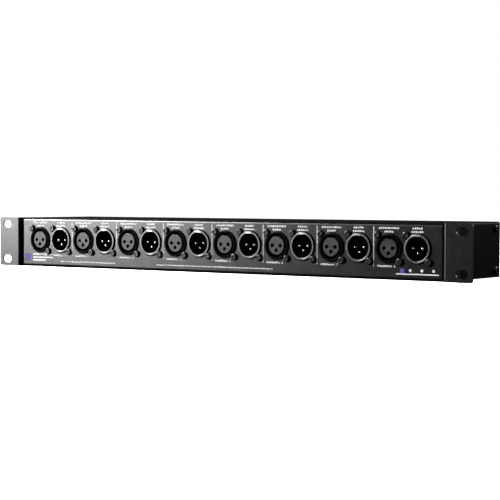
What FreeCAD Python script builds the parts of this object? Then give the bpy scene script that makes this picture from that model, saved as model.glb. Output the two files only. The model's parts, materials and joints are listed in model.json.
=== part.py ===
"""Eight-channel rack patch panel: a 19-inch, one-unit steel box with XLR-type connectors.

Frame: millimetres, X to the right as seen from the front, Y back into the box, Z up.
The origin is the centre of the four rack slots, on the front plane of the ears.
"""
import FreeCAD, Part
import os

V = FreeCAD.Vector
os.makedirs("parts", exist_ok=True)

# ---- driving dimensions -----------------------------------------------------------------
# rack panel, to the 19-inch rack standard
PANEL_WIDTH = 482.6
PANEL_HEIGHT = 44.0
RACK_SPACING_X = 465.1
RACK_SPACING_Z = 31.75
RACK_SLOT_LENGTH = 10.2
RACK_SLOT_WIDTH = 6.8

# case
SHEET = 1.2                 # steel of the chassis and of the cover
CASE_WIDTH = 434.0          # over the cover's side walls
FACE_Y = 3.0                # front face, set back from the ears
BACK_Y = 93.6               # rear face
SHEET_GAP = 0.1             # between the cover and the chassis
COVER_SETBACK = 0.3         # of the cover's front edge from the front face
COVER_BEND = 1.8            # outer radius of the cover's bends
FACE_BEND = 1.5             # outer radius of the chassis's upper and side bends
FLOOR_BEND = 2.4            # outer radius of the chassis's lower bends
TOP_LIP = 10.0              # lips folded inwards at the top of both faces
SIDE_FLANGE = 14.0          # flanges folded inwards at the ends of both faces
FLOOR_FLANGE = 9.0          # flanges folded up at the ends of the floor
RELIEF = 2.6                # corner relief between a lip and a side flange

# rack ears
EAR_SHEET = 1.5
EAR_LEG = 24.0              # along the side of the case
EAR_BEND = 2.0
EAR_CORNER = 2.0

# case screws, M3
CASE_SCREW_Z = 16.3         # above and below the middle
CASE_SCREW_INSET = 8.1      # from the front face and from the rear face
CASE_SHANK_R = 1.5
CASE_HOLE_R = 1.6
CASE_HEAD_R = 3.0
CASE_HEAD_HEIGHT = 2.0
SCREW_PAST_NUT = 1.0
SCREW_CROWN = 0.45          # rounding of a screw's head, as a share of its height
RECESS_DEPTH = 0.6          # of a cross recess, as a share of the head's height
RECESS_REACH = 0.6          # from the recess's middle, as a share of the head's radius
NUT_R = 2.9
NUT_THICKNESS = 2.2
COVER_SCREW_X = (-150.0, 0.0, 150.0)
COVER_SCREW_INSET = 5.2     # from the rear face
COVER_HEAD_R = 2.7
COVER_HEAD_DEPTH = 1.1
COVER_SCREW_LENGTH = 5.0
COVER_RECESS_DEPTH = 0.7

# connector layout
CHANNELS = 8
CHANNEL_PITCH = 51.8
PAIR_SPACING = 25.0         # input to output within a channel
CONNECTOR_Z = 2.1

# connector, measured from the outer face of the panel it sits on: positive is into the case
PANEL_HOLE_R = 10.9
FLANGE_R = 11.7
FLANGE_PROUD = 1.0
FLANGE_CHAMFER = 0.4
LUG_R = 3.05
LUG_PROUD = 0.7
LUG_X = 9.8
LUG_Z = 10.15
BARREL_R = 10.6
BARREL_END = 18.0
INSERT_END = 19.5
INSERT_BACK_R = 10.4
CONNECTOR_SHANK_R = 1.45
CONNECTOR_HOLE_R = 1.5
CONNECTOR_HEAD_R = 2.6
HEAD_POCKET_GAP = 0.2
CONNECTOR_HEAD_HEIGHT = 1.3
CONNECTOR_SCREW_END = 6.0
CONTACT_RADIUS = 3.81       # the three contacts lie left, right and below the centre
TAIL_R = 0.5
TAIL_END = 22.8

# input (female) connector
CAVITY_R = 9.6
CAVITY_DEPTH = 14.5
RIM_R = 10.5
RIM_PROUD = 1.3
RIM_CHAMFER = 0.2
PLUG_R = 7.6                # the insert's round nose
PLUG_CHAMFER = 0.4
PLUG_FRONT = -0.8
CONTACT_TUBE_R = 1.55
CONTACT_BORE_R = 1.2
CONTACT_TUBE_START = 1.0
KEY_WIDTH = 2.0
KEY_DEPTH = 0.7

# release latch of an input connector
LATCH_TRAVEL = 1.0
TAB_HALF_WIDTH = 4.6
TAB_TOP_R = 11.5
TAB_FRONT = -1.5
TAB_BACK = -0.4
TAB_CHAMFER = 0.3
ARM_HALF_WIDTH = 2.4
ARM_LOW = 9.7
ARM_HIGH = 10.3
ARM_END = 11.0
ARM_SLOT_END = 16.5         # the spring bears on the slot's end
HOOK_LOW = 8.4
HOOK_START = 7.0
HOOK_END = 9.6
HOOK_SLOPE = 1.0
LATCH_CLEARANCE = 0.3
NOTCH_CLEARANCE = 0.15      # from the tab to the panel above it
SPRING_THICKNESS = 0.2
SPRING_HALF_WIDTH = 1.5

# output (male) connector
SLEEVE_BORE_R = 9.4
SLEEVE_R = 9.8
SLEEVE_END = 12.0
LIP_R = 11.1
LIP_PROUD = 1.4
LIP_ROUND = 0.35
MOUTH_CHAMFER = 0.3
LIP_NOTCH_HALF_WIDTH = 2.75
LIP_NOTCH_DEPTH = 0.8
LIP_NOTCH_CUT = 0.2         # back from the lip's front
RAMP_HALF_WIDTH = 2.5       # the ramp that a plug's latch rides up, in the notch
RAMP_PROUD = 1.9
RAMP_BACK = 1.1
RAMP_LOW = 9.45
RAMP_HIGH = 10.5
HOUSING_BORE_R = 9.85
HOUSING_FLOOR = 14.5        # the insert lies on it
PIN_PASSAGE_R = 1.5
CUP_FLOOR = 13.0
PIN_R = 1.2
PIN_TIP = 0.7
PIN_TIP_ROUND = 0.7
CUP_KEY_START = 3.5
CUP_KEY_LOW = 7.9
CUP_KEY_HIGH = 9.2

# circuit boards
BOARD_START = 20.2          # behind the outer face of the panel
BOARD_THICKNESS = 1.6
BOARD_HALF_LENGTH = 207.5
BOARD_LOW = -19.6
BOARD_HIGH = 17.5
BOARD_HOLE_R = 0.65

# ground-lift switch, below and between the two outputs of a channel on the rear face
BUTTON_Z = -16.1
BUTTON_TRAVEL = 3.0
BUTTON_R = 2.9
BUTTON_HOLE_R = 3.2
BUTTON_PROUD = 4.0
BUTTON_ROUND = 0.4
BUTTON_CAP_END = 5.8
STEM_HALF = 1.5
STEM_END = 13.0
SWITCH_HALF = 3.6
SWITCH_START = 9.6
STEM_CLEARANCE = 0.1
STEM_END_GAP = 0.3          # left behind the stem when the button is right in

# isolating transformer, standing off the rear board
CORE_HALF_WIDTH = 12.0
CORE_HALF_HEIGHT = 10.0
CORE_HALF_STACK = 5.0
LIMB_HALF_WIDTH = 4.0
WINDOW_OUTER = 8.0
WINDOW_HALF_HEIGHT = 6.5
BOBBIN_WALL = 0.8
BOBBIN_FLANGE = 1.0
WINDING_THICKNESS = 2.2
WINDING_ROUND = 1.5
BOBBIN_RIM = 0.3            # how far the bobbin's flanges stand out past the winding
FIT_GAP = 0.1
TRANSFORMER_Z = 2.0
TRANSFORMER_TO_BOARD = 1.2  # from the bobbin's flange to the board
SOLDER_PIN_R = 0.35
SOLDER_PIN_INSET = 1.5      # from the window's outer side
SOLDER_PIN_PROUD = 0.3      # past the board
SOLDER_HOLE_GAP = 0.1

# ribbon cable and its headers
RIBBON_Z = -14.5
RIBBON_HALF_WIDTH = 4.5
RIBBON_THICKNESS = 0.9
RIBBON_SAG = 1.6
HEADER_HALF_WIDTH = 5.6
HEADER_HALF_HEIGHT = 2.6
HEADER_DEPTH = 6.0

# allowances
THROUGH = 1.0               # how far a cutter runs past the surface that it opens
OVERLAP = 0.5               # how far two pieces of one solid run into each other
FIT = 0.05                  # play round a pin or a nose in its hole
NEAR = 0.1                  # how near an edge must be to a plane to count as lying on it
TINY = 1e-5                 # smaller than any dimension
SHORTEST_EDGE = 1.0         # shorter ones don't count as running along an axis

# ---- values worked out from these --------------------------------------------------------
HALF_HEIGHT = PANEL_HEIGHT / 2
HALF_CASE = CASE_WIDTH / 2
CHASSIS_HALF = HALF_CASE - SHEET - SHEET_GAP
CHASSIS_TOP = HALF_HEIGHT - SHEET - SHEET_GAP
CHANNEL_X = [(index - (CHANNELS - 1) / 2) * CHANNEL_PITCH for index in range(CHANNELS)]
INPUT_X = [x - PAIR_SPACING / 2 for x in CHANNEL_X]
OUTPUT_X = [x + PAIR_SPACING / 2 for x in CHANNEL_X]
ALL_CONNECTOR_X = sorted(INPUT_X + OUTPUT_X)
CONTACT_PLACES = [(-CONTACT_RADIUS, 0.0), (CONTACT_RADIUS, 0.0), (0.0, -CONTACT_RADIUS)]
LUG_PLACES = [(-LUG_X, LUG_Z), (LUG_X, -LUG_Z)]
BOARD_END = BOARD_START + BOARD_THICKNESS
FRONT_BOARD_BACK = FACE_Y + BOARD_END
REAR_BOARD_FRONT = BACK_Y - BOARD_END
BOBBIN_HALF_DEPTH = CORE_HALF_STACK + FIT_GAP + BOBBIN_WALL + WINDING_THICKNESS + BOBBIN_RIM
TRANSFORMER_Y = REAR_BOARD_FRONT - TRANSFORMER_TO_BOARD - BOBBIN_HALF_DEPTH


# ---- helpers -------------------------------------------------------------------------------
def block(x, y, z):
    """A box from three (low, high) pairs."""
    return Part.makeBox(x[1] - x[0], y[1] - y[0], z[1] - z[0], V(x[0], y[0], z[0]))


def rod(radius, start, end, x=0.0, z=0.0):
    """A cylinder along Y."""
    return Part.makeCylinder(radius, end - start, V(x, start, z), V(0, 1, 0))


def fuse(shapes):
    return shapes[0].fuse(shapes[1:]).removeSplitter()


def edges_where(shape, test):
    """The straight or round edges whose middle and direction pass a test."""
    chosen = []
    for edge in shape.Edges:
        middle = edge.BoundBox.Center
        if test(edge, middle):
            chosen.append(edge)
    return chosen


def runs_along(edge, axis):
    box = edge.BoundBox
    lengths = {"x": box.XLength, "y": box.YLength, "z": box.ZLength}
    across = [lengths[name] for name in lengths if name != axis]
    return lengths[axis] > SHORTEST_EDGE and max(across) < TINY


def edges_at(shape, y):
    """The edges that lie in the plane at a given Y."""
    return edges_where(shape, lambda e, m: e.BoundBox.YLength < TINY and abs(m.y - y) < TINY)


def at_front(shape, x, z):
    """Places a connector piece, drawn from the panel's outer face, on the front face."""
    placed = shape.copy()
    placed.translate(V(x, FACE_Y, z))
    return placed


def at_back(shape, x, z):
    """Turns a piece half round the Z axis and places it on the rear face."""
    placed = shape.copy()
    placed.rotate(V(0, 0, 0), V(0, 0, 1), 180)
    placed.translate(V(x, BACK_Y, z))
    return placed


def save(node, shapes):
    """Writes one node; a list becomes a group of separate solids."""
    group = shapes if isinstance(shapes, list) else [shapes]
    solids = [solid for shape in group for solid in shape.Solids]
    shape = solids[0] if len(solids) == 1 else Part.makeCompound(solids)
    bad = [solid for solid in solids if not solid.isValid()]
    volume = sum(solid.Volume for solid in solids)
    print(f"{node}: {len(solids)} solid(s), {volume:.1f} mm3" + (", NOT VALID" if bad else ""))
    shape.exportStep(f"parts/{node}.step")


# ---- case ----------------------------------------------------------------------------------
def rounded_box(half_x, y, z, upper_bend, lower_bend):
    """A box whose edges along X and whose upright edges are rounded like folded sheet."""
    box = block((-half_x, half_x), y, z)
    middle_z = sum(z) / 2
    low = edges_where(box, lambda e, m: runs_along(e, "x") and m.z < middle_z)
    box = box.makeFillet(lower_bend, low)
    high = edges_where(box, lambda e, m: runs_along(e, "x") and m.z > z[1] - upper_bend)
    box = box.makeFillet(upper_bend, high)
    upright = edges_where(box, lambda e, m: runs_along(e, "z"))
    return box.makeFillet(upper_bend, upright)


def connector_holes(face_span, turn):
    """The round hole and the two screw holes of each connector in a face; turn is -1 at the rear."""
    holes = []
    for x in ALL_CONNECTOR_X:
        holes.append(rod(PANEL_HOLE_R, *face_span, x, CONNECTOR_Z))
        for side, height in LUG_PLACES:
            holes.append(rod(CONNECTOR_HOLE_R, *face_span, x + turn * side, CONNECTOR_Z + height))
    return holes


def latch_notches():
    """Room in the front face, above each input's hole, for the latch's tab to be pushed into."""
    half = TAB_HALF_WIDTH + LATCH_CLEARANCE
    span = (FACE_Y - THROUGH, FACE_Y + SHEET + THROUGH)
    notches = []
    for x in INPUT_X:
        disc = rod(TAB_TOP_R + NOTCH_CLEARANCE, *span, x, CONNECTOR_Z)
        band = block((x - half, x + half), span, (CONNECTOR_Z, CONNECTOR_Z + FLANGE_R))
        notches.append(disc.common(band))
    return notches


def case_screw_places():
    """Y and Z of the four screw holes at each end of the case."""
    near = FACE_Y + CASE_SCREW_INSET
    far = BACK_Y - CASE_SCREW_INSET
    return [(y, z) for y in (near, far) for z in (-CASE_SCREW_Z, CASE_SCREW_Z)]


def side_holes(radius):
    """Holes along X through both ends of the case."""
    length = CASE_WIDTH + 4 * EAR_SHEET
    return [
        Part.makeCylinder(radius, length, V(-length / 2, y, z), V(1, 0, 0))
        for y, z in case_screw_places()
    ]


def chassis_base():
    """Floor, front face and rear face in one folded sheet, open at the top and the ends."""
    skin = rounded_box(
        CHASSIS_HALF, (FACE_Y, BACK_Y), (-HALF_HEIGHT, CHASSIS_TOP), FACE_BEND, FLOOR_BEND
    )
    hollow = rounded_box(
        CHASSIS_HALF - SHEET,
        (FACE_Y + SHEET, BACK_Y - SHEET),
        (-HALF_HEIGHT + SHEET, CHASSIS_TOP - SHEET),
        FACE_BEND - SHEET,
        FLOOR_BEND - SHEET,
    )
    shell = skin.cut(hollow)
    reach = HALF_CASE
    lip_span = (FACE_Y + TOP_LIP, BACK_Y - TOP_LIP)
    flange_span = (FACE_Y + SIDE_FLANGE, BACK_Y - SIDE_FLANGE)
    open_top = block((-reach, reach), lip_span, (CHASSIS_TOP - SHEET - THROUGH, CHASSIS_TOP + THROUGH))
    open_ends = block((-reach, reach), flange_span, (-HALF_HEIGHT + FLOOR_FLANGE, CHASSIS_TOP + THROUGH))
    cuts = [open_top, open_ends]
    front_relief = (FACE_Y + RELIEF, FACE_Y + SIDE_FLANGE + THROUGH)
    rear_relief = (BACK_Y - SIDE_FLANGE - THROUGH, BACK_Y - RELIEF)
    for side in (-1, 1):
        x = sorted((side * (CHASSIS_HALF - RELIEF), side * reach))
        for y in (front_relief, rear_relief):
            cuts.append(block(x, y, (CHASSIS_TOP - RELIEF, CHASSIS_TOP + THROUGH)))
    back_span = (BACK_Y - SHEET - THROUGH, BACK_Y + THROUGH)
    cuts += connector_holes((FACE_Y - THROUGH, FACE_Y + SHEET + THROUGH), 1)
    cuts += connector_holes(back_span, -1)
    cuts += latch_notches()
    cuts += [rod(BUTTON_HOLE_R, *back_span, x, BUTTON_Z) for x in CHANNEL_X]
    cuts += side_holes(CASE_HOLE_R)
    for x in COVER_SCREW_X:
        place = V(x, BACK_Y - COVER_SCREW_INSET, CHASSIS_TOP - SHEET - THROUGH)
        cuts.append(Part.makeCylinder(CASE_HOLE_R, SHEET + 2 * THROUGH, place))
    return shell.cut(cuts)


def countersink(extra):
    """The cone of a countersunk head, with its flat at the origin, larger all round by extra."""
    return Part.makeCone(
        CASE_SHANK_R + extra, COVER_HEAD_R + extra, COVER_HEAD_DEPTH, V(0, 0, -COVER_HEAD_DEPTH), V(0, 0, 1)
    )


def top_cover():
    """Top and both side walls in one folded sheet."""
    y = (FACE_Y + COVER_SETBACK, BACK_Y)
    outer = block((-HALF_CASE, HALF_CASE), y, (-HALF_HEIGHT + SHEET_GAP, HALF_HEIGHT))
    inner_half = HALF_CASE - SHEET
    inner = block(
        (-inner_half, inner_half),
        (y[0] - THROUGH, y[1] + THROUGH),
        (-HALF_HEIGHT - THROUGH, HALF_HEIGHT - SHEET),
    )
    top_edges = edges_where(outer, lambda e, m: runs_along(e, "y") and m.z > 0)
    outer = outer.makeFillet(COVER_BEND, top_edges)
    inner_edges = edges_where(inner, lambda e, m: runs_along(e, "y") and m.z > 0)
    inner = inner.makeFillet(COVER_BEND - SHEET, inner_edges)
    cuts = [inner] + side_holes(CASE_HOLE_R)
    for x in COVER_SCREW_X:
        place = V(x, BACK_Y - COVER_SCREW_INSET, HALF_HEIGHT)
        cone = countersink(FIT)
        cone.translate(place)
        cuts.append(cone)
        cuts.append(Part.makeCylinder(CASE_HOLE_R, 2 * SHEET, V(place.x, place.y, place.z - 2 * SHEET)))
    return outer.cut(cuts)


def rack_slot(x, z):
    """An oval slot through an ear, longer along X."""
    radius = RACK_SLOT_WIDTH / 2
    half_straight = RACK_SLOT_LENGTH / 2 - radius
    y = (-1.0, EAR_SHEET + THROUGH)
    middle = block((x - half_straight, x + half_straight), y, (z - radius, z + radius))
    return fuse([middle, rod(radius, *y, x - half_straight, z), rod(radius, *y, x + half_straight, z)])


def rack_ear_right():
    """L-shaped ear: the slotted flange and the leg along the case's side wall."""
    z = (-HALF_HEIGHT, HALF_HEIGHT)
    flange = block((HALF_CASE, PANEL_WIDTH / 2), (0, EAR_SHEET), z)
    leg = block((HALF_CASE, HALF_CASE + EAR_SHEET), (0, EAR_LEG), z)
    ear = fuse([flange, leg])

    def upright_at(x, y):
        return lambda e, m: runs_along(e, "z") and abs(m.x - x) < NEAR and abs(m.y - y) < NEAR

    ear = ear.makeFillet(EAR_BEND, edges_where(ear, upright_at(HALF_CASE, 0)))
    inside = edges_where(ear, upright_at(HALF_CASE + EAR_SHEET, EAR_SHEET))
    ear = ear.makeFillet(EAR_BEND - EAR_SHEET, inside)
    tips = edges_where(ear, lambda e, m: runs_along(e, "y") and m.x > PANEL_WIDTH / 2 - NEAR)
    ear = ear.makeFillet(EAR_CORNER, tips)
    leg_tips = edges_where(ear, lambda e, m: runs_along(e, "x") and m.y > EAR_LEG - NEAR)
    ear = ear.makeFillet(EAR_CORNER, leg_tips)
    slots = [rack_slot(RACK_SPACING_X / 2, side * RACK_SPACING_Z / 2) for side in (-1, 1)]
    return ear.cut(slots + side_holes(CASE_HOLE_R))


def cross_recess(depth, half_length):
    """A cross-shaped recess that opens at the origin and goes down along -Z."""
    half_width = half_length / 4
    z = (-depth, THROUGH)
    bars = [
        block((-half_length, half_length), (-half_width, half_width), z),
        block((-half_width, half_width), (-half_length, half_length), z),
    ]
    return fuse(bars)


def pan_screw(head_r, head_height, shank_r, length):
    """A pan-head screw along Z: the head stands on the XY plane and the shank goes down."""
    head = Part.makeCylinder(head_r, head_height)
    crown = edges_where(head, lambda e, m: e.BoundBox.ZLength < TINY and m.z > head_height / 2)
    head = head.makeFillet(head_height * SCREW_CROWN, crown)
    recess = cross_recess(head_height * RECESS_DEPTH, head_r * RECESS_REACH)
    recess.translate(V(0, 0, head_height))
    shank = Part.makeCylinder(shank_r, length, V(0, 0, -length))
    return fuse([head.cut(recess), shank])


def on_side(shape, x, y, z):
    """Turns a piece drawn along Z outwards along X and puts its origin at a point on a side wall."""
    placed = shape.copy()
    placed.rotate(V(0, 0, 0), V(0, 1, 0), 90 if x > 0 else -90)
    placed.translate(V(x, y, z))
    return placed


def ear_screws():
    length = EAR_SHEET + 2 * SHEET + NUT_THICKNESS + SCREW_PAST_NUT
    screw = pan_screw(CASE_HEAD_R, CASE_HEAD_HEIGHT, CASE_SHANK_R, length)
    y = FACE_Y + CASE_SCREW_INSET
    x = HALF_CASE + EAR_SHEET
    return [on_side(screw, side * x, y, z) for side in (-1, 1) for z in (-CASE_SCREW_Z, CASE_SCREW_Z)]


def side_screws():
    """The screws in the rear holes, where the ears can also be fitted."""
    length = 2 * SHEET + NUT_THICKNESS + SCREW_PAST_NUT
    screw = pan_screw(CASE_HEAD_R, CASE_HEAD_HEIGHT, CASE_SHANK_R, length)
    y = BACK_Y - CASE_SCREW_INSET
    return [on_side(screw, side * HALF_CASE, y, z) for side in (-1, 1) for z in (-CASE_SCREW_Z, CASE_SCREW_Z)]


def clinch_nuts():
    """Round nuts pressed onto the inner sides of the chassis's flanges."""
    nut = Part.makeCylinder(NUT_R, NUT_THICKNESS, V(0, 0, -NUT_THICKNESS))
    start = V(0, 0, -NUT_THICKNESS - THROUGH)
    hole = Part.makeCylinder(CASE_SHANK_R + FIT, NUT_THICKNESS + 2 * THROUGH, start)
    nut = nut.cut(hole)
    x = CHASSIS_HALF - SHEET
    return [on_side(nut, side * x, y, z) for side in (-1, 1) for y, z in case_screw_places()]


def cover_screws():
    """Countersunk screws through the cover into the chassis's rear lip."""
    shank = Part.makeCylinder(CASE_SHANK_R, COVER_SCREW_LENGTH, V(0, 0, -COVER_SCREW_LENGTH))
    screw = fuse([countersink(0.0), shank]).cut(cross_recess(COVER_RECESS_DEPTH, COVER_HEAD_R * RECESS_REACH))
    placed = []
    for x in COVER_SCREW_X:
        copy = screw.copy()
        copy.translate(V(x, BACK_Y - COVER_SCREW_INSET, HALF_HEIGHT))
        placed.append(copy)
    return placed


# ---- connectors, drawn from the panel's outer face ---------------------------------------------
def flange():
    """A round flange with two lower lugs at opposite corners, and room round the screw heads."""
    disc = rod(FLANGE_R, -FLANGE_PROUD, 0.0)
    pieces = [disc.makeChamfer(FLANGE_CHAMFER, edges_at(disc, -FLANGE_PROUD))]
    pockets = []
    for x, z in LUG_PLACES:
        pieces.append(rod(LUG_R, -LUG_PROUD, 0.0, x, z))
        pockets.append(rod(CONNECTOR_HEAD_R + HEAD_POCKET_GAP, -FLANGE_PROUD - THROUGH, -LUG_PROUD, x, z))
    return fuse(pieces).cut(pockets)


def lug_holes():
    return [rod(CONNECTOR_HOLE_R, -FLANGE_PROUD - THROUGH, 1.0, x, z) for x, z in LUG_PLACES]


def input_shell():
    """Housing of an input: flange, rim, barrel, and a floor that the insert passes through."""
    rim = rod(RIM_R, -RIM_PROUD, 0.0)
    rim = rim.makeChamfer(RIM_CHAMFER, edges_at(rim, -RIM_PROUD))
    body = fuse([flange(), rim, rod(BARREL_R, -OVERLAP, BARREL_END)])
    tab_half = TAB_HALF_WIDTH + LATCH_CLEARANCE
    tab_reach = TAB_BACK + LATCH_TRAVEL + LATCH_CLEARANCE
    arm_half = ARM_HALF_WIDTH + LATCH_CLEARANCE
    start = -RIM_PROUD - THROUGH
    tab_slot_z = (ARM_LOW - LATCH_CLEARANCE, FLANGE_R + THROUGH)
    arm_slot_z = (ARM_LOW - 2 * LATCH_CLEARANCE, BARREL_R + THROUGH)
    cuts = [
        rod(CAVITY_R, start, CAVITY_DEPTH),
        rod(PLUG_R + FIT, start, BARREL_END + THROUGH),
        block((-tab_half, tab_half), (start, tab_reach), tab_slot_z),
        block((-arm_half, arm_half), (start, ARM_SLOT_END), arm_slot_z),
    ]
    return body.cut(cuts + lug_holes())


def input_insert():
    """Insulating insert with three contact channels and a keyway on top."""
    nose = rod(PLUG_R, PLUG_FRONT, BARREL_END + OVERLAP)
    nose = nose.makeChamfer(PLUG_CHAMFER, edges_at(nose, PLUG_FRONT))
    body = fuse([nose, rod(INSERT_BACK_R, BARREL_END, INSERT_END)])
    keyway = block(
        (-KEY_WIDTH / 2, KEY_WIDTH / 2),
        (PLUG_FRONT - THROUGH, CAVITY_DEPTH),
        (PLUG_R - KEY_DEPTH, PLUG_R + THROUGH),
    )
    cuts = [keyway]
    for x, z in CONTACT_PLACES:
        cuts.append(rod(CONTACT_TUBE_R + FIT, PLUG_FRONT - THROUGH, INSERT_END + THROUGH, x, z))
    return body.cut(cuts)


def input_contacts():
    """Contact tubes, each with its solder tail."""
    contacts = []
    for x, z in CONTACT_PLACES:
        tube = rod(CONTACT_TUBE_R, CONTACT_TUBE_START, INSERT_END, x, z)
        bore = rod(CONTACT_BORE_R, CONTACT_TUBE_START - THROUGH, CAVITY_DEPTH, x, z)
        contacts.append(fuse([tube.cut(bore), rod(TAIL_R, INSERT_END - THROUGH, TAIL_END, x, z)]))
    return contacts


def input_latch():
    """Push tab, arm and hook in one piece."""
    plate = block((-TAB_HALF_WIDTH, TAB_HALF_WIDTH), (TAB_FRONT, TAB_BACK), (ARM_LOW, TAB_TOP_R + THROUGH))
    plate = plate.common(rod(TAB_TOP_R, TAB_FRONT - THROUGH, TAB_BACK + THROUGH))
    plate = plate.makeChamfer(TAB_CHAMFER, edges_at(plate, TAB_FRONT))
    arm = block((-ARM_HALF_WIDTH, ARM_HALF_WIDTH), (TAB_BACK - OVERLAP, ARM_END), (ARM_LOW, ARM_HIGH))
    hook_half = ARM_HALF_WIDTH - LATCH_CLEARANCE
    hook = block((-hook_half, hook_half), (HOOK_START, HOOK_END), (HOOK_LOW, ARM_HIGH))
    lead = edges_where(hook, lambda e, m: runs_along(e, "x") and m.z < ARM_LOW and m.y < HOOK_START + NEAR)
    hook = hook.makeChamfer(HOOK_SLOPE, lead)
    return fuse([plate, arm, hook])


def latch_spring():
    """A bent leaf behind the latch's arm, at the length it has with the latch pushed in."""
    start = ARM_END + LATCH_TRAVEL + 2 * FIT
    end = ARM_SLOT_END - 2 * FIT
    middle = (start + end) / 2
    low, high = ARM_LOW + FIT, ARM_HIGH
    outline = [
        V(-SPRING_HALF_WIDTH, start, low),
        V(-SPRING_HALF_WIDTH, middle, high),
        V(-SPRING_HALF_WIDTH, end, low),
        V(-SPRING_HALF_WIDTH, end, low + SPRING_THICKNESS),
        V(-SPRING_HALF_WIDTH, middle, high + SPRING_THICKNESS),
        V(-SPRING_HALF_WIDTH, start, low + SPRING_THICKNESS),
    ]
    face = Part.Face(Part.makePolygon(outline + outline[:1]))
    return face.extrude(V(2 * SPRING_HALF_WIDTH, 0, 0))


def output_shell():
    """Housing of an output: flange, and a barrel whose floor the three pins pass through."""
    body = fuse([flange(), rod(BARREL_R, -OVERLAP, BARREL_END)])
    cuts = [rod(HOUSING_BORE_R, -FLANGE_PROUD - THROUGH, HOUSING_FLOOR)] + lug_holes()
    for x, z in CONTACT_PLACES:
        cuts.append(rod(PIN_PASSAGE_R, HOUSING_FLOOR - THROUGH, BARREL_END + THROUGH, x, z))
    return body.cut(cuts)


def latch_ramp():
    """A wedge whose slope faces forwards and up."""
    x = -RAMP_HALF_WIDTH
    outline = [V(x, -RAMP_PROUD, RAMP_LOW), V(x, -RAMP_BACK, RAMP_HIGH), V(x, -RAMP_BACK, RAMP_LOW)]
    face = Part.Face(Part.makePolygon(outline + outline[:1]))
    return face.extrude(V(2 * RAMP_HALF_WIDTH, 0, 0))


def ground_ring():
    """Metal sleeve that lines the cup, with a lip over the flange and a ramp in a notch at the top."""
    lip = rod(LIP_R, -LIP_PROUD, -FLANGE_PROUD)
    lip = lip.makeFillet(LIP_ROUND, edges_at(lip, -LIP_PROUD))
    body = fuse([lip, rod(SLEEVE_R, -LIP_PROUD, SLEEVE_END)])
    bore = rod(SLEEVE_BORE_R, -LIP_PROUD - THROUGH, SLEEVE_END + THROUGH)
    mouth = Part.makeCone(
        SLEEVE_BORE_R + MOUTH_CHAMFER, SLEEVE_BORE_R, MOUTH_CHAMFER, V(0, -LIP_PROUD, 0), V(0, 1, 0)
    )
    notch = block(
        (-LIP_NOTCH_HALF_WIDTH, LIP_NOTCH_HALF_WIDTH),
        (-LIP_PROUD - THROUGH, -LIP_PROUD + LIP_NOTCH_CUT),
        (SLEEVE_BORE_R - THROUGH, SLEEVE_BORE_R + LIP_NOTCH_DEPTH),
    )
    return fuse([body.cut([bore, mouth, notch]), latch_ramp()])


def output_insert():
    """Insulating disc on the housing's floor, with the key along the cup's top."""
    disc = rod(SLEEVE_R, CUP_FLOOR, HOUSING_FLOOR)
    half = KEY_WIDTH / 2 - 2 * FIT
    key = block((-half, half), (CUP_KEY_START, CUP_FLOOR + OVERLAP), (CUP_KEY_LOW, CUP_KEY_HIGH))
    holes = [rod(PIN_R + FIT, CUP_FLOOR - THROUGH, HOUSING_FLOOR + THROUGH, x, z) for x, z in CONTACT_PLACES]
    return fuse([disc, key]).cut(holes)


def output_pins():
    """Round-nosed pins, each with its solder tail."""
    pins = []
    for x, z in CONTACT_PLACES:
        pin = rod(PIN_R, PIN_TIP, INSERT_END, x, z)
        pin = pin.makeFillet(PIN_TIP_ROUND, edges_at(pin, PIN_TIP))
        pins.append(fuse([pin, rod(TAIL_R, INSERT_END - THROUGH, TAIL_END, x, z)]))
    return pins


def connector_screws():
    """The two screws of one connector."""
    screw = pan_screw(
        CONNECTOR_HEAD_R, CONNECTOR_HEAD_HEIGHT, CONNECTOR_SHANK_R, LUG_PROUD + CONNECTOR_SCREW_END
    )
    screw.rotate(V(0, 0, 0), V(1, 0, 0), 90)
    placed = []
    for x, z in LUG_PLACES:
        copy = screw.copy()
        copy.translate(V(x, -LUG_PROUD, z))
        placed.append(copy)
    return placed


# ---- boards and what stands on them -------------------------------------------------------------
def pin_rows():
    """X and Z of every connector pin in the front board; the rear board's are turned half round."""
    return [(x + side, CONNECTOR_Z + height) for x in ALL_CONNECTOR_X for side, height in CONTACT_PLACES]


def circuit_board(start, holes, radius_holes):
    board = block(
        (-BOARD_HALF_LENGTH, BOARD_HALF_LENGTH), (start, start + BOARD_THICKNESS), (BOARD_LOW, BOARD_HIGH)
    )
    span = (start - THROUGH, start + BOARD_THICKNESS + THROUGH)
    return board.cut([rod(radius, *span, x, z) for (x, z), radius in zip(holes, radius_holes)])


def front_circuit_board():
    holes = pin_rows()
    return circuit_board(FACE_Y + BOARD_START, holes, [BOARD_HOLE_R] * len(holes))


def solder_pin_places():
    """X and Z of a transformer's four pins, from its own middle."""
    x = WINDOW_OUTER - SOLDER_PIN_INSET
    z = WINDOW_HALF_HEIGHT - BOBBIN_FLANGE / 2 - FIT_GAP
    return [(side * x, level * z) for side in (-1, 1) for level in (-1, 1)]


def rear_circuit_board():
    holes = [(-x, z) for x, z in pin_rows()]
    radii = [BOARD_HOLE_R] * len(holes)
    for channel_x in CHANNEL_X:
        for x, z in solder_pin_places():
            holes.append((channel_x + x, TRANSFORMER_Z + z))
            radii.append(SOLDER_PIN_R + SOLDER_HOLE_GAP)
    return circuit_board(REAR_BOARD_FRONT, holes, radii)


def ground_lift_button():
    """Round cap and square stem."""
    cap = rod(BUTTON_R, -BUTTON_PROUD, BUTTON_CAP_END)
    cap = cap.makeFillet(BUTTON_ROUND, edges_at(cap, -BUTTON_PROUD))
    stem = block((-STEM_HALF, STEM_HALF), (BUTTON_CAP_END - THROUGH, STEM_END), (-STEM_HALF, STEM_HALF))
    return fuse([cap, stem])


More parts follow.
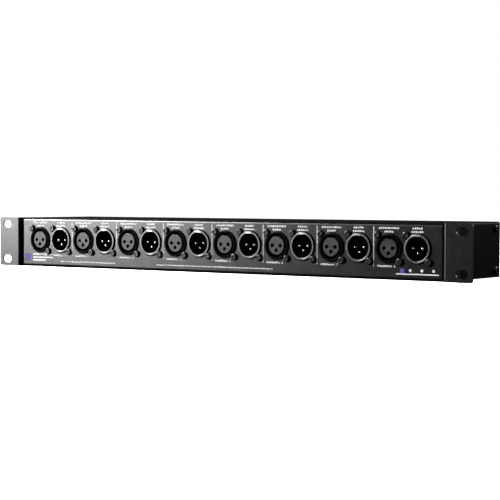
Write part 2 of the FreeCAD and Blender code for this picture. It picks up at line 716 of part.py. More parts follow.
def ground_lift_switch():
    """Switch body on the rear board, with the channel that the stem slides in."""
    body = block((-SWITCH_HALF, SWITCH_HALF), (SWITCH_START, BOARD_START), (-SWITCH_HALF, SWITCH_HALF))
    half = STEM_HALF + STEM_CLEARANCE
    channel_end = STEM_END + BUTTON_TRAVEL + STEM_END_GAP
    channel = block((-half, half), (SWITCH_START - THROUGH, channel_end), (-half, half))
    return body.cut(channel)


def around_limb(half_x, half_y, z):
    """A block centred on the transformer's middle limb."""
    return block((-half_x, half_x), (TRANSFORMER_Y - half_y, TRANSFORMER_Y + half_y), z)


def transformer_core():
    """Laminated core with a middle limb between two windows."""
    z = (-CORE_HALF_HEIGHT, CORE_HALF_HEIGHT)
    core = around_limb(CORE_HALF_WIDTH, CORE_HALF_STACK, z)
    depth = CORE_HALF_STACK + THROUGH
    windows = []
    for side in (-1, 1):
        x = sorted((side * LIMB_HALF_WIDTH, side * WINDOW_OUTER))
        y = (TRANSFORMER_Y - depth, TRANSFORMER_Y + depth)
        windows.append(block(x, y, (-WINDOW_HALF_HEIGHT, WINDOW_HALF_HEIGHT)))
    return core.cut(windows)


def transformer_bobbin():
    """Square tube on the limb with a flange at each end and four solder pins."""
    high = WINDOW_HALF_HEIGHT - FIT_GAP
    tube_x = LIMB_HALF_WIDTH + FIT_GAP
    tube_y = CORE_HALF_STACK + FIT_GAP
    flange_x = WINDOW_OUTER - FIT_GAP
    pieces = [around_limb(tube_x + BOBBIN_WALL, tube_y + BOBBIN_WALL, (-high, high))]
    for z in ((-high, -high + BOBBIN_FLANGE), (high - BOBBIN_FLANGE, high)):
        pieces.append(around_limb(flange_x, BOBBIN_HALF_DEPTH, z))
    bobbin = fuse(pieces).cut(around_limb(tube_x, tube_y, (-high - THROUGH, high + THROUGH)))
    start = TRANSFORMER_Y + BOBBIN_HALF_DEPTH - OVERLAP
    end = REAR_BOARD_FRONT + BOARD_THICKNESS + SOLDER_PIN_PROUD
    return fuse([bobbin] + [rod(SOLDER_PIN_R, start, end, x, z) for x, z in solder_pin_places()])


def transformer_winding():
    """The wound copper between the bobbin's flanges, taped round."""
    inner_x = LIMB_HALF_WIDTH + FIT_GAP + BOBBIN_WALL
    inner_y = CORE_HALF_STACK + FIT_GAP + BOBBIN_WALL
    high = WINDOW_HALF_HEIGHT - FIT_GAP - BOBBIN_FLANGE
    outer = around_limb(WINDOW_OUTER - 3 * FIT_GAP, inner_y + WINDING_THICKNESS, (-high, high))
    corners = edges_where(outer, lambda e, m: runs_along(e, "z"))
    outer = outer.makeFillet(WINDING_ROUND, corners)
    return outer.cut(around_limb(inner_x, inner_y, (-high - THROUGH, high + THROUGH)))


def ribbon_header(start):
    return block(
        (-HEADER_HALF_WIDTH, HEADER_HALF_WIDTH),
        (start, start + HEADER_DEPTH),
        (RIBBON_Z - HEADER_HALF_HEIGHT, RIBBON_Z + HEADER_HALF_HEIGHT),
    )


def ribbon_cable():
    """A flat cable between the two headers, sagging a little in one arc."""
    start = FRONT_BOARD_BACK + HEADER_DEPTH
    end = REAR_BOARD_FRONT - HEADER_DEPTH
    middle = (start + end) / 2
    half = RIBBON_THICKNESS / 2

    def arc(level):
        z = RIBBON_Z + level
        return Part.Arc(V(0, start, z), V(0, middle, z - RIBBON_SAG), V(0, end, z)).toShape()

    upper, lower = arc(half), arc(-half)
    ends = [
        Part.LineSegment(V(0, y, RIBBON_Z - half), V(0, y, RIBBON_Z + half)).toShape() for y in (start, end)
    ]
    section = Part.Face(Part.Wire(Part.__sortEdges__([upper, ends[0], lower, ends[1]])))
    section.translate(V(-RIBBON_HALF_WIDTH, 0, 0))
    return section.extrude(V(2 * RIBBON_HALF_WIDTH, 0, 0))


def per_channel(shape, z=0.0):
    """A copy of a piece on every channel's middle."""
    copies = []
    for x in CHANNEL_X:
        copy = shape.copy()
        copy.translate(V(x, 0, z))
        copies.append(copy)
    return copies


# ---- the nodes ---------------------------------------------------------------------------------
def save_case():
    right = rack_ear_right()
    left = right.mirror(V(0, 0, 0), V(1, 0, 0))
    save("chassis_base", chassis_base())
    save("top_cover", top_cover())
    save("rack_ear_right", right)
    save("rack_ear_left", left)
    save("ear_screws", ear_screws())
    save("side_screws", side_screws())
    save("clinch_nuts", clinch_nuts())
    save("cover_screws", cover_screws())


def save_front():
    def group(positions, pieces):
        return [at_front(piece, x, CONNECTOR_Z) for x in positions for piece in pieces]

    latch = input_latch()
    for number, x in enumerate(INPUT_X, start=1):
        save(f"input_latch_{number}", at_front(latch, x, CONNECTOR_Z))
    save("input_shells", group(INPUT_X, [input_shell()]))
    save("input_inserts", group(INPUT_X, [input_insert()]))
    save("input_contacts", group(INPUT_X, input_contacts()))
    save("latch_springs", group(INPUT_X, [latch_spring()]))
    save("output_shells", group(OUTPUT_X, [output_shell()]))
    save("output_ground_rings", group(OUTPUT_X, [ground_ring()]))
    save("output_inserts", group(OUTPUT_X, [output_insert()]))
    save("output_pins", group(OUTPUT_X, output_pins()))
    save("front_connector_screws", group(ALL_CONNECTOR_X, connector_screws()))


def save_rear():
    def group(pieces):
        return [at_back(piece, x, CONNECTOR_Z) for x in ALL_CONNECTOR_X for piece in pieces]

    save("isolated_shells", group([output_shell()]))
    save("isolated_ground_rings", group([ground_ring()]))
    save("isolated_inserts", group([output_insert()]))
    save("isolated_pins", group(output_pins()))
    save("rear_connector_screws", group(connector_screws()))
    button = ground_lift_button()
    for number, x in enumerate(CHANNEL_X, start=1):
        save(f"ground_lift_button_{number}", at_back(button, x, BUTTON_Z))
    save("ground_lift_switches", [at_back(ground_lift_switch(), x, BUTTON_Z) for x in CHANNEL_X])


def save_inside():
    save("front_circuit_board", front_circuit_board())
    save("rear_circuit_board", rear_circuit_board())
    save("transformer_cores", per_channel(transformer_core(), TRANSFORMER_Z))
    save("transformer_bobbins", per_channel(transformer_bobbin(), TRANSFORMER_Z))
    save("transformer_windings", per_channel(transformer_winding(), TRANSFORMER_Z))
    headers = [ribbon_header(FRONT_BOARD_BACK), ribbon_header(REAR_BOARD_FRONT - HEADER_DEPTH)]
    save("ribbon_headers", [piece for header in headers for piece in per_channel(header)])
    save("ribbon_cables", per_channel(ribbon_cable()))


save_case()
save_front()
save_rear()
save_inside()
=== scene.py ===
import json
import math
import random

import bmesh
import bpy
from mathutils import Matrix, Vector

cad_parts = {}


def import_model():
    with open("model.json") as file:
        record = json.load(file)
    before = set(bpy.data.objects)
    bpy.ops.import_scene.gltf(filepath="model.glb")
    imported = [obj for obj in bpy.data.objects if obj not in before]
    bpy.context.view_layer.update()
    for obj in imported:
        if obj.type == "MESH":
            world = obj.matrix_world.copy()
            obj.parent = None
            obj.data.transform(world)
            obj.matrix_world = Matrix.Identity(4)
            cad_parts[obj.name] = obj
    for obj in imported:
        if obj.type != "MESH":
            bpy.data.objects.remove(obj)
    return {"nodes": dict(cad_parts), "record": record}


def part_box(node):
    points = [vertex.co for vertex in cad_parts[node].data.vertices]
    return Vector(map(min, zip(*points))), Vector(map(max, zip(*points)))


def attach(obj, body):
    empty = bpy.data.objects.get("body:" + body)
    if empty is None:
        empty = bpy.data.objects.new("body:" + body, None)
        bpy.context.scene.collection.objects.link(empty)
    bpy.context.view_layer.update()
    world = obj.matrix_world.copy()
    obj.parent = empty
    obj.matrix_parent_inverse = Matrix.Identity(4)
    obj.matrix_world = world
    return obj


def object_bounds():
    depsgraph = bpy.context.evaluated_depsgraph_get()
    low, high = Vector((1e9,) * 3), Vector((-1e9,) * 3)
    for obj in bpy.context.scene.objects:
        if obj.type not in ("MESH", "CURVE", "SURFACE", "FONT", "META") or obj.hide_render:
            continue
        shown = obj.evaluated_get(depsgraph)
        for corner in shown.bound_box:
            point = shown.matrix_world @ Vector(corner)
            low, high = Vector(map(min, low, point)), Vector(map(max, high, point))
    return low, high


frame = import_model()
CAD_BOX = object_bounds()

MM = 0.001
CHANNELS = 8
CASE = "case"               # the body that everything but the latches and buttons rides on


# ---- places, read from the frame --------------------------------------------------------------
def centre_of(node):
    low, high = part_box(node)
    return (low + high) / 2


FACE_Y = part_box("chassis_base")[0].y
REAR_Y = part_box("chassis_base")[1].y
BUTTONS = [centre_of(f"ground_lift_button_{n}") for n in range(1, CHANNELS + 1)]
INPUT_X = [centre_of(f"input_latch_{n}").x for n in range(1, CHANNELS + 1)]
OUTPUT_X = [2 * button.x - x for button, x in zip(BUTTONS, INPUT_X)]
PITCH = INPUT_X[1] - INPUT_X[0]


# ---- node materials -----------------------------------------------------------------------------
BEVEL_SAMPLES = 6
EDGE_COSINE, FLAT_COSINE = 0.75, 0.995      # how far a rounded normal leans from the flat one
NOISE_LOW, NOISE_HIGH = 0.3, 0.7            # most of a noise's values lie between these


def shade(colour, factor):
    return tuple(min(1.0, c * factor) for c in colour[:3]) + (1.0,)


class Finish:
    """Builds one node material, with its textures placed in the part's own frame."""

    def __init__(self, name, colour, roughness, metallic=0.0):
        self.material = bpy.data.materials.new(name)
        self.material.use_nodes = True
        self.tree = self.material.node_tree
        self.shader = self.tree.nodes["Principled BSDF"]
        self.colour = (*colour, 1.0)
        self.roughness = roughness
        self.place = self.add("ShaderNodeTexCoord").outputs["Object"]
        self.shader.inputs["Metallic"].default_value = metallic
        self.shader.inputs["Base Color"].default_value = self.colour
        self.shader.inputs["Roughness"].default_value = roughness

    def add(self, kind, **values):
        node = self.tree.nodes.new(kind)
        for key, value in values.items():
            setattr(node, key, value)
        return node

    def feed(self, socket, value):
        if isinstance(value, bpy.types.NodeSocket):
            self.tree.links.new(value, socket)
        else:
            socket.default_value = value

    def noise(self, grain, detail=2.0, stretch=(1, 1, 1)):
        """Noise whose features are about grain metres across, from 0 to 1."""
        place = self.add("ShaderNodeVectorMath", operation="MULTIPLY")
        self.feed(place.inputs[0], self.place)
        place.inputs[1].default_value = [s / grain for s in stretch]
        node = self.add("ShaderNodeTexNoise")
        node.inputs["Scale"].default_value = 1.0
        node.inputs["Detail"].default_value = detail
        self.feed(node.inputs["Vector"], place.outputs[0])
        return node.outputs["Fac"]

    def bands(self, width, direction):
        """Soft stripes of the given width across a direction."""
        node = self.add("ShaderNodeTexWave", wave_type="BANDS", bands_direction=direction)
        node.inputs["Scale"].default_value = math.pi / (10 * width)
        self.feed(node.inputs["Vector"], self.place)
        return node.outputs["Fac"]

    def spread(self, value, low, high, start=0.0, end=1.0):
        """Maps start..end of a value to low..high."""
        node = self.add("ShaderNodeMapRange")
        self.feed(node.inputs["Value"], value)
        node.inputs["From Min"].default_value = start
        node.inputs["From Max"].default_value = end
        node.inputs["To Min"].default_value = low
        node.inputs["To Max"].default_value = high
        return node.outputs["Result"]

    def product(self, first, second):
        node = self.add("ShaderNodeMath", operation="MULTIPLY")
        self.feed(node.inputs[0], first)
        self.feed(node.inputs[1], second)
        return node.outputs[0]

    def blend(self, share, first, second):
        node = self.add("ShaderNodeMix", data_type="RGBA")
        self.feed(node.inputs["Factor"], share)
        self.feed(node.inputs["A"], first)
        self.feed(node.inputs["B"], second)
        return node.outputs["Result"]

    def clouded(self, grain, detail, darkest, lightest=1.0):
        """The finish's colour, drifting between two shades of itself."""
        dark, light = shade(self.colour, darkest), shade(self.colour, lightest)
        return self.blend(self.noise(grain, detail), dark, light)

    def edges(self, radius):
        """1 on edges and corners, 0 on flats."""
        flat = self.add("ShaderNodeNewGeometry")
        dot = self.add("ShaderNodeVectorMath", operation="DOT_PRODUCT")
        self.feed(dot.inputs[0], self.rounded(radius))
        self.feed(dot.inputs[1], flat.outputs["Normal"])
        return self.spread(dot.outputs["Value"], 1.0, 0.0, EDGE_COSINE, FLAT_COSINE)

    def rounded(self, radius):
        """A normal that catches the light on edges as if they were rounded to a small radius."""
        node = self.add("ShaderNodeBevel", samples=BEVEL_SAMPLES)
        node.inputs["Radius"].default_value = radius
        return node.outputs["Normal"]

    def paint(self, colour):
        self.feed(self.shader.inputs["Base Color"], colour)

    def vary_roughness(self, value, amount):
        low, high = self.roughness - amount, self.roughness + amount
        varied = self.spread(value, low, high, NOISE_LOW, NOISE_HIGH)
        self.feed(self.shader.inputs["Roughness"], varied)

    def emboss(self, height, depth, strength=1.0, over=None):
        node = self.add("ShaderNodeBump")
        if over is not None:
            self.feed(node.inputs["Normal"], over)
        node.inputs["Strength"].default_value = strength
        node.inputs["Distance"].default_value = depth
        self.feed(node.inputs["Height"], height)
        self.feed(self.shader.inputs["Normal"], node.outputs["Normal"])


def powder_coat(name, colour, roughness, specular, rubbed, peel=0.35):
    """Black powder coat: fine orange peel, slight clouding, paler where edges rub."""
    finish = Finish(name, colour, roughness)
    finish.shader.inputs["Specular IOR Level"].default_value = specular
    patches = finish.spread(finish.noise(6 * MM, 3.0), 0.0, 0.7, 0.42, 0.65)
    worn = finish.product(finish.edges(0.35 * MM), patches)
    coat = finish.clouded(35 * MM, 3.0, 0.8, 1.25)
    finish.paint(finish.blend(worn, coat, (rubbed, rubbed, rubbed, 1.0)))
    finish.vary_roughness(finish.noise(4 * MM, 4.0), 0.02)
    finish.emboss(finish.noise(0.9 * MM, 3.0), 0.05 * MM, peel)
    return finish.material


def moulded(name, colour, roughness, specular=0.5):
    """Moulded plastic with spark-eroded grain and softly rounded edges."""
    finish = Finish(name, colour, roughness)
    finish.shader.inputs["Specular IOR Level"].default_value = specular
    finish.paint(finish.clouded(12 * MM, 3.0, 0.8, 1.3))
    finish.vary_roughness(finish.noise(3 * MM, 3.0), 0.06)
    finish.emboss(finish.noise(0.7 * MM), 0.03 * MM, 0.45, finish.rounded(0.25 * MM))
    return finish.material


def metal(name, colour, roughness, stretch=(1, 1, 1), tarnish=0.75):
    """Plated metal: fine drawing marks, uneven tarnish, bright rubbed edges."""
    finish = Finish(name, colour, roughness, metallic=1.0)
    worn = finish.spread(finish.edges(0.15 * MM), 0.0, 0.6)
    finish.paint(finish.blend(worn, finish.clouded(5 * MM, 4.0, tarnish), shade(finish.colour, 1.5)))
    finish.vary_roughness(finish.noise(2 * MM, 4.0, stretch), 0.09)
    marks = finish.noise(0.8 * MM, 2.0, stretch)
    finish.emboss(marks, 0.015 * MM, 0.4, finish.rounded(0.2 * MM))
    return finish.material


CUP_SHADE_PROUD = 0.6 * MM     # a cup's ring is plated where it stands further out than this, and painted with shade, near black, where it lies further in
CUP_SHADE_FADE = 0.3 * MM


def cup_ring(name, colour, roughness):
    """Satin plate outside, with painted shade, near black, where the ring lines a cup."""
    finish = Finish(name, colour, roughness, metallic=1.0)
    axes = finish.add("ShaderNodeSeparateXYZ")
    finish.feed(axes.inputs[0], finish.place)
    depth = axes.outputs["Y"]
    front, rear = FACE_Y - CUP_SHADE_PROUD, REAR_Y + CUP_SHADE_PROUD
    behind_front = finish.spread(depth, 0.0, 1.0, front - CUP_SHADE_FADE, front)
    before_rear = finish.spread(depth, 1.0, 0.0, rear, rear + CUP_SHADE_FADE)
    shaded_inside = finish.product(behind_front, before_rear)
    # painted shade: where the ring lines the cup it is painted near black instead of plated
    finish.paint(finish.blend(shaded_inside, finish.clouded(5 * MM, 4.0, 0.75), (0.006, 0.006, 0.006, 1.0)))
    finish.vary_roughness(finish.noise(2 * MM, 4.0), 0.08)
    finish.emboss(finish.noise(0.8 * MM), 0.015 * MM, 0.4, finish.rounded(0.2 * MM))
    return finish.material


def board_laminate():
    """Green solder mask over tracks."""
    finish = Finish("board_laminate", (0.02, 0.13, 0.05), 0.3)
    tracks = finish.add("ShaderNodeTexBrick")
    finish.feed(tracks.inputs["Vector"], finish.place)
    tracks.inputs["Scale"].default_value = 120.0
    tracks.inputs["Mortar Size"].default_value = 0.03
    finish.paint(finish.blend(tracks.outputs["Fac"], finish.colour, shade(finish.colour, 1.8)))
    finish.vary_roughness(finish.noise(2 * MM, 3.0), 0.05)
    finish.emboss(tracks.outputs["Fac"], 0.03 * MM)
    return finish.material


def striped(name, colour, other, width, direction, roughness, metallic=0.0):
    """Layers or strands side by side: laminations, tape turns, ribbon wires."""
    finish = Finish(name, colour, roughness, metallic)
    stripes = finish.bands(width, direction)
    finish.paint(finish.blend(stripes, finish.colour, (*other, 1.0)))
    finish.vary_roughness(finish.noise(2 * MM, 3.0), 0.06)
    finish.emboss(stripes, 0.1 * MM, 0.6)
    return finish.material


def ink(name, colour):
    """Screen-printed ink: flat colour that is slightly thin in places."""
    finish = Finish(name, colour, 0.55)
    cover = finish.spread(finish.noise(1.5 * MM, 3.0), 0.0, 1.0, 0.35, 0.55)
    finish.paint(finish.blend(cover, shade(finish.colour, 0.82), finish.colour))
    finish.emboss(finish.noise(0.6 * MM), 0.01 * MM, 0.3)
    return finish.material


MATERIALS = {
    "powder_coat": powder_coat("powder_coat", (0.003, 0.003, 0.0033), 0.25, 0.5, 0.06),
    "black_screw": metal("black_screw", (0.045, 0.045, 0.048), 0.3),
    "plated_steel": metal("plated_steel", (0.6, 0.6, 0.58), 0.32),
    "connector_black": moulded("connector_black", (0.0015, 0.0015, 0.0017), 0.42, 0.02),
    "latch_plastic": moulded("latch_plastic", (0.002, 0.002, 0.0022), 0.38, 0.06),
    "insert_plastic": moulded("insert_plastic", (0.009, 0.009, 0.0095), 0.34, 0.4),
    "gold_contact": metal("gold_contact", (0.07, 0.05, 0.025), 0.45),
    "silver_pin": metal("silver_pin", (0.42, 0.4, 0.34), 0.16, (1, 0.1, 1), tarnish=0.85),
    "spring_steel": metal("spring_steel", (0.55, 0.55, 0.57), 0.3),
    "satin_nickel": cup_ring("satin_nickel", (0.12, 0.12, 0.124), 0.36),
    "switch_plastic": moulded("switch_plastic", (0.02, 0.02, 0.02), 0.3),
    "button_plastic": moulded("button_plastic", (0.07, 0.07, 0.075), 0.4),
    "board_laminate": board_laminate(),
    "core_steel": striped(
        "core_steel", (0.2, 0.2, 0.21), (0.07, 0.065, 0.06), 0.5 * MM, "Y", 0.42, metallic=0.9
    ),
    "bobbin_plastic": moulded("bobbin_plastic", (0.018, 0.018, 0.018), 0.45),
    "winding_copper": striped(
        "winding_copper", (0.72, 0.46, 0.04), (0.6, 0.36, 0.03), 2.2 * MM, "Z", 0.35
    ),
    "header_plastic": moulded("header_plastic", (0.015, 0.015, 0.015), 0.38),
    "ribbon_plastic": striped(
        "ribbon_plastic", (0.36, 0.36, 0.38), (0.2, 0.2, 0.22), 1.27 * MM, "X", 0.5
    ),
}
WHITE_INK = ink("white_ink", (0.72, 0.72, 0.71))
VIOLET_INK = ink("violet_ink", (0.045, 0.035, 0.25))
# painted shade: a duller copy of the powder coat, with darker rubbed edges, so that the top cover
# reads black
SHADED_COVER_COAT = powder_coat("shaded_cover_coat", (0.003, 0.003, 0.0033), 0.3, 0.04, 0.01, peel=0.2)
# painted shade: the top cover takes its duller coat, and the inserts down in the male cups take the
# blacker housing plastic instead of their own
SHADED_NODES = {
    "top_cover": SHADED_COVER_COAT,
    "output_inserts": MATERIALS["connector_black"],
    "isolated_inserts": MATERIALS["connector_black"],
}


def finish_cad_nodes():
    """Gives every CAD node the material of its slot in the record, or the copy with painted shade
    listed for it.
    """
    for entry in frame["record"]["subparts"]:
        node = frame["nodes"][entry["node"]]
        material = SHADED_NODES.get(entry["node"], MATERIALS[entry["material_slot"]])
        if not node.material_slots:
            node.data.materials.append(material)
        for slot in node.material_slots:
            slot.material = material


# ---- printing on the panels -----------------------------------------------------------------------
INK_PROUD = 0.03 * MM
INK_SUNK = 0.02 * MM
RULE = 0.5 * MM
DISC_STEPS = 24

LABEL_HEIGHT = 1.4 * MM
LABEL_BARS = (0.9 * MM, 1.4 * MM)       # shortest and longest bar of a label
LABEL_BAR_HEIGHTS = (1.0, 1.0, 0.8)     # shares of the label's height
LABEL_GAP = 0.6 * MM
DASHES = (1.2 * MM, 4.2 * MM)           # shortest and longest dash
DASH_GAP = 0.8 * MM
FONT_FIGURE = 0.72                      # height of a figure in a font of size 1
FIGURE_WEIGHT = 0.06                    # how much bolder a figure is, as a share of its height


class Printing:
    """Thin raised ink on a panel. Across runs to the reader's right, up is Z."""

    def __init__(self, panel_y, facing):
        self.mesh = bmesh.new()
        self.panel_y = panel_y
        self.facing = facing        # -1 for the front panel, +1 for the rear

    def point(self, across, up, depth):
        return Vector((-self.facing * across, self.panel_y + self.facing * depth, up))

    def solid(self, outline):
        """One closed flat piece of ink from an outline of (across, up) points."""
        tops = [self.mesh.verts.new(self.point(x, z, INK_PROUD)) for x, z in outline]
        bottoms = [self.mesh.verts.new(self.point(x, z, -INK_SUNK)) for x, z in outline]
        self.mesh.faces.new(tops)
        self.mesh.faces.new(list(reversed(bottoms)))
        for k in range(len(outline)):
            after = (k + 1) % len(outline)
            self.mesh.faces.new((tops[after], tops[k], bottoms[k], bottoms[after]))

    def bar(self, x0, x1, z0, z1):
        self.solid([(x0, z0), (x1, z0), (x1, z1), (x0, z1)])

    def rule(self, x0, x1, z, thickness=RULE):
        """A level line, centred on a height."""
        self.bar(x0, x1, z - thickness / 2, z + thickness / 2)

    def disc(self, x, z, radius):
        turns = [2 * math.pi * k / DISC_STEPS for k in range(DISC_STEPS)]
        self.solid([(x + radius * math.cos(turn), z + radius * math.sin(turn)) for turn in turns])

    def word(self, x, z, width, draw):
        """A row of small upright bars, which stands for a printed word, centred on a point."""
        start, end = x - width / 2, x + width / 2
        low = z - LABEL_HEIGHT / 2
        while start < end:
            length = draw.uniform(*LABEL_BARS)
            high = low + LABEL_HEIGHT * draw.choice(LABEL_BAR_HEIGHTS)
            self.bar(start, min(start + length, end), low, high)
            start += length + LABEL_GAP

    def dashes(self, x0, x1, z, thickness, draw):
        """A rule broken into short dashes of uneven length."""
        while x0 < x1:
            length = draw.uniform(*DASHES)
            self.rule(x0, min(x0 + length, x1), z, thickness)
            x0 += length + DASH_GAP

    def figures(self, text, x, z, height):
        """Plain figures, centred on a point."""
        curve = bpy.data.curves.new("figures", "FONT")
        curve.body = text
        curve.size = height / FONT_FIGURE
        curve.align_x = "CENTER"
        curve.extrude = (INK_PROUD + INK_SUNK) / 2
        curve.offset = FIGURE_WEIGHT * height
        maker = bpy.data.objects.new("figures", curve)
        flat = bpy.data.meshes.new_from_object(maker)
        middle = (INK_PROUD - INK_SUNK) / 2
        for vertex in flat.vertices:
            across, up, out = vertex.co
            vertex.co = self.point(x + across, z - height / 2 + up, middle + out)
        self.mesh.from_mesh(flat)
        bpy.data.objects.remove(maker)
        bpy.data.curves.remove(curve)
        bpy.data.meshes.remove(flat)

    def piece(self, name, material):
        bmesh.ops.recalc_face_normals(self.mesh, faces=self.mesh.faces)
        data = bpy.data.meshes.new(name)
        self.mesh.to_mesh(data)
        self.mesh.free()
        data.materials.append(material)
        made = bpy.data.objects.new(name, data)
        bpy.context.scene.collection.objects.link(made)
        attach(made, CASE)


DIVIDER = 0.6 * MM                              # line between two channels
DIVIDER_FOOT, DIVIDER_TOP = -11.9 * MM, 18.6 * MM
LABEL_ROWS = (17.6 * MM, 14.9 * MM)             # heights of the two rows above a connector
INPUT_LABEL = (17.7 * MM, 8.0 * MM)             # widths of those rows
OUTPUT_LABEL = (9.0 * MM, 10.5 * MM)
CHANNEL_ROW = -11.5 * MM
CHANNEL_LABEL = 13.0 * MM
CHANNEL_SHIFT = -3.6 * MM                       # its middle, from the connector's
CHANNEL_FIGURE_SHIFT = 8.8 * MM                 # its figure, from the label's middle
CHANNEL_FIGURE = 1.15 * LABEL_HEIGHT
SMALL_PRINT = ((-168.9 * MM, -105.5 * MM), (-58.8 * MM, 61.0 * MM))     # ends of the two lines
SMALL_PRINT_ROW = -16.8 * MM
SMALL_PRINT_HEIGHT = 0.7 * MM


def channel_printing(white, draw):
    """Dividers, and for each channel the rows of bars above and below it with its figure."""
    for first, second in zip(OUTPUT_X[:-1], INPUT_X[1:]):
        middle = (first + second) / 2
        white.bar(middle - DIVIDER / 2, middle + DIVIDER / 2, DIVIDER_FOOT, DIVIDER_TOP)
    for number, (socket, plug) in enumerate(zip(INPUT_X, OUTPUT_X), start=1):
        for x, widths in ((socket, INPUT_LABEL), (plug, OUTPUT_LABEL)):
            for z, width in zip(LABEL_ROWS, widths):
                white.word(x, z, width, draw)
        # the first channel's label makes room for the mark in the panel's corner
        x = (plug if number == 1 else socket) + CHANNEL_SHIFT
        white.word(x, CHANNEL_ROW, CHANNEL_LABEL, draw)
        white.figures(str(number), x + CHANNEL_FIGURE_SHIFT, CHANNEL_ROW, CHANNEL_FIGURE)


def left_mark(white, violet):
    """A disc with three bars beside it."""
    x = INPUT_X[0] - 15.4 * MM
    violet.disc(x, -13.6 * MM, 3.6 * MM)
    start = x + 6.2 * MM
    for row, length in enumerate((25.0 * MM, 25.0 * MM, 16.0 * MM)):
        white.rule(start, start + length, (-11.0 - 2.6 * row) * MM, 1.2 * MM)


def right_mark(white, violet):
    """A line with a square and three dots standing above it."""
    x = OUTPUT_X[-1]
    start = x - 18.6 * MM
    white.bar(start, x + 18.1 * MM, -17.5 * MM, -16.6 * MM)
    square = start + 3.4 * MM
    violet.bar(square, square + 3.8 * MM, -16.4 * MM, -12.9 * MM)
    for dot in (-6.3 * MM, 3.7 * MM, 13.7 * MM):
        white.disc(x + dot, -14.2 * MM, 1.2 * MM)


def front_printing():
    """Channel printing, two lines of dashes, and plain marks in the lower corners."""
    white = Printing(FACE_Y, -1)
    violet = Printing(FACE_Y, -1)
    draw = random.Random(8)
    channel_printing(white, draw)
    left_mark(white, violet)
    for x0, x1 in SMALL_PRINT:
        white.dashes(x0, x1, SMALL_PRINT_ROW, SMALL_PRINT_HEIGHT, draw)
    right_mark(white, violet)
    white.piece("front_printing", WHITE_INK)
    violet.piece("front_accents", VIOLET_INK)


BRACKET_ROW = 18.2 * MM                 # underside of the bracket's rule
BRACKET_DROP = 1.1 * MM
BRACKET_SPACE = 6 * MM                  # between two channels' brackets
REAR_FIGURE_ROW = 15.4 * MM
REAR_FIGURE = 1.2 * LABEL_HEIGHT
EARTH_SHIFT = 7.0 * MM                  # the sign, from its button
EARTH_LIFT = 0.2 * MM
EARTH_BARS = (3.2 * MM, 2.1 * MM, 1.0 * MM)
EARTH_STEP = 0.75 * MM
EARTH_STEM = 1.4 * MM


def bracket(white, x, width):
    """A thin rule with turned-down ends, which marks the outputs that a figure belongs to."""
    half = width / 2
    white.bar(x - half, x + half, BRACKET_ROW, BRACKET_ROW + RULE)
    for side in (-1, 1):
        low, high = sorted((x + side * half, x + side * (half - RULE)))
        white.bar(low, high, BRACKET_ROW - BRACKET_DROP, BRACKET_ROW)


def earth_sign(white, x, z):
    """A stem on three bars, each shorter than the one above."""
    for row, width in enumerate(EARTH_BARS):
        white.rule(x - width / 2, x + width / 2, z - row * EARTH_STEP)
    white.bar(x - RULE / 2, x + RULE / 2, z, z + EARTH_STEM)


def rear_printing():
    """Figures and brackets for the isolated outputs, and an earth sign by each button."""
    white = Printing(REAR_Y, 1)
    for number, button in enumerate(BUTTONS, start=1):
        across = -button.x
        bracket(white, across, PITCH - BRACKET_SPACE)
        white.figures(str(number), across, REAR_FIGURE_ROW, REAR_FIGURE)
        earth_sign(white, across + EARTH_SHIFT, button.z + EARTH_LIFT)
    white.piece("rear_printing", WHITE_INK)


# ---- stage, light and camera -----------------------------------------------------------------------
FLOOR_HALF = 6.0
FLOOR_GLOW = 1.0            # keeps the paper white right out to the horizon
FILL_RADIANCE = 0.004       # reaches what the lights don't

LIGHTS = (                  # name, place, what it faces, width, height, radiance
    ("key_left", (-1.61, -1.51, 0.45), (-0.15, 0, 0), 0.62, 1.0, 23.0),
    ("high_left", (-1.25, -0.25, 1.05), (-0.1, 0, 0), 0.7, 0.6, 100.0),
    ("front_fill", (0.9, -1.6, 1.2), (0, 0, 0), 0.9, 0.9, 3.0),
    ("rear_right", (1.3, 1.5, 0.7), (0, 0.1, 0), 1.0, 1.0, 6.0),
    ("rear_high", (0.5, 1.2, 1.6), (0, 0.1, 0), 1.0, 0.8, 15.0),
)

CAMERA_PLACE = (0.7502, -0.9857, 0.0410)
CAMERA_YAW = math.radians(35.738)      # turned left from looking along +Y
CAMERA_PITCH = math.radians(-2.024)
CAMERA_ROLL = math.radians(0.119)
CAMERA_LENS = 108.21
CAMERA_SENSOR = 36.0


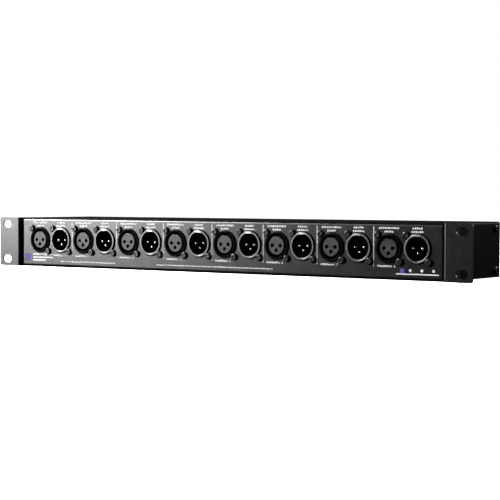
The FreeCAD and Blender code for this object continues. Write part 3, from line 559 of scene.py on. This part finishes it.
def floor():
    """A plain pale floor at the height of the case's underside."""
    corners = ((-1, -1), (1, -1), (1, 1), (-1, 1))
    mesh = bmesh.new()
    z = CAD_BOX[0].z
    mesh.faces.new([mesh.verts.new((x * FLOOR_HALF, y * FLOOR_HALF, z)) for x, y in corners])
    data = bpy.data.meshes.new("floor")
    mesh.to_mesh(data)
    mesh.free()
    finish = Finish("floor_paper", (0.86, 0.86, 0.86), 0.9)
    finish.paint(finish.clouded(200 * MM, 2.0, 0.985))
    finish.shader.inputs["Emission Color"].default_value = (1, 1, 1, 1)
    finish.shader.inputs["Emission Strength"].default_value = FLOOR_GLOW
    data.materials.append(finish.material)
    made = bpy.data.objects.new("floor", data)
    bpy.context.scene.collection.objects.link(made)
    made.visible_glossy = False
    made.visible_diffuse = False


def world():
    """White behind the object, and a dim even fill for everything that the lights don't reach."""
    sky = bpy.data.worlds.new("studio")
    sky.use_nodes = True
    tree = sky.node_tree
    fill = tree.nodes["Background"]
    seen = tree.nodes.new("ShaderNodeBackground")
    for background, radiance in ((fill, FILL_RADIANCE), (seen, 1.0)):
        background.inputs["Color"].default_value = (1, 1, 1, 1)
        background.inputs["Strength"].default_value = radiance
    path = tree.nodes.new("ShaderNodeLightPath")
    mix = tree.nodes.new("ShaderNodeMixShader")
    tree.links.new(path.outputs["Is Camera Ray"], mix.inputs[0])
    tree.links.new(fill.outputs[0], mix.inputs[1])
    tree.links.new(seen.outputs[0], mix.inputs[2])
    tree.links.new(mix.outputs[0], tree.nodes["World Output"].inputs["Surface"])
    bpy.context.scene.world = sky


def area_light(name, place, target, width, height, radiance):
    """A soft box whose face has the given brightness."""
    data = bpy.data.lights.new(name, "AREA")
    data.shape = "RECTANGLE"
    data.size, data.size_y = width, height
    data.energy = radiance * math.pi * width * height
    light = bpy.data.objects.new(name, data)
    light.location = place
    light.visible_camera = False
    light.rotation_euler = (Vector(target) - Vector(place)).to_track_quat("-Z", "Y").to_euler()
    bpy.context.scene.collection.objects.link(light)


def camera():
    data = bpy.data.cameras.new("camera")
    data.lens = CAMERA_LENS
    data.sensor_width = CAMERA_SENSOR
    made = bpy.data.objects.new("camera", data)
    turn = Matrix.Rotation(CAMERA_YAW, 4, "Z")
    tilt = Matrix.Rotation(math.radians(90) + CAMERA_PITCH, 4, "X")
    roll = Matrix.Rotation(CAMERA_ROLL, 4, "Z")
    made.matrix_world = Matrix.Translation(CAMERA_PLACE) @ turn @ tilt @ roll
    bpy.context.scene.collection.objects.link(made)
    bpy.context.scene.camera = made


finish_cad_nodes()
front_printing()
rear_printing()
floor()
world()
camera()
for light in LIGHTS:
    area_light(*light)
bpy.context.scene.view_settings.view_transform = "Standard"
